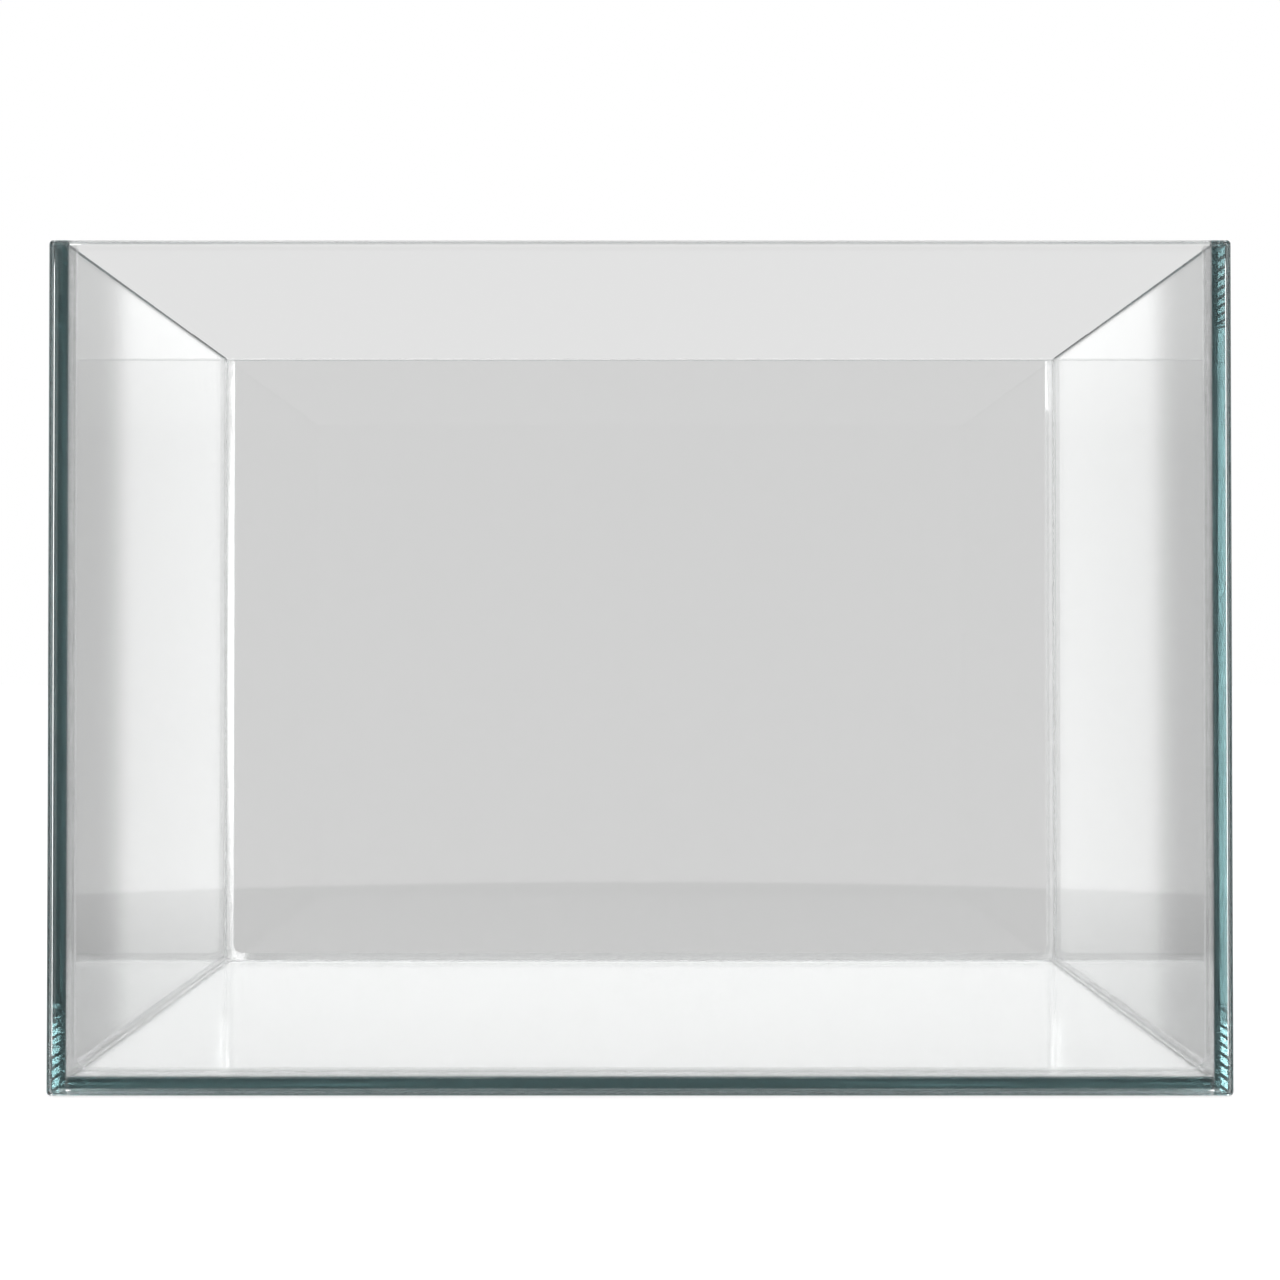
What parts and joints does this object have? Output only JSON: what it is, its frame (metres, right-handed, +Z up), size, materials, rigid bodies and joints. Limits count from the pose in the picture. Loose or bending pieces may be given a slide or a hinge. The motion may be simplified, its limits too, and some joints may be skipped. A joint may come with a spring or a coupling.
{
  "type": "open-top aquarium",
  "caption": "Rimless open-top glass aquarium: flat panes with ground edges, bonded at the corners with clear silicone.",
  "frame": {"origin": "centre of the tank's underside, on the surface it stands on", "axes": "+X along the tank's width to the viewer's right, +Y from the front pane to the back pane, +Z up"},
  "size_m": [0.36, 0.22, 0.26],
  "materials": {
    "float_glass": "clear float glass with ground edges",
    "clear_silicone": "smooth, clear, slightly milky"
  },
  "bodies": {
    "root": {"front_pane": "float_glass", "back_pane": "float_glass", "left_pane": "float_glass", "right_pane": "float_glass", "floor_pane": "float_glass", "bond_floor_front": "clear_silicone", "bond_floor_back": "clear_silicone", "bond_floor_left": "clear_silicone", "bond_floor_right": "clear_silicone", "bond_front_left": "clear_silicone", "bond_front_right": "clear_silicone", "bond_back_left": "clear_silicone", "bond_back_right": "clear_silicone", "bead_floor_front": "clear_silicone", "bead_floor_back": "clear_silicone", "bead_floor_left": "clear_silicone", "bead_floor_right": "clear_silicone", "bead_front_left": "clear_silicone", "bead_front_right": "clear_silicone", "bead_back_left": "clear_silicone", "bead_back_right": "clear_silicone"}
  },
  "joints": []
}
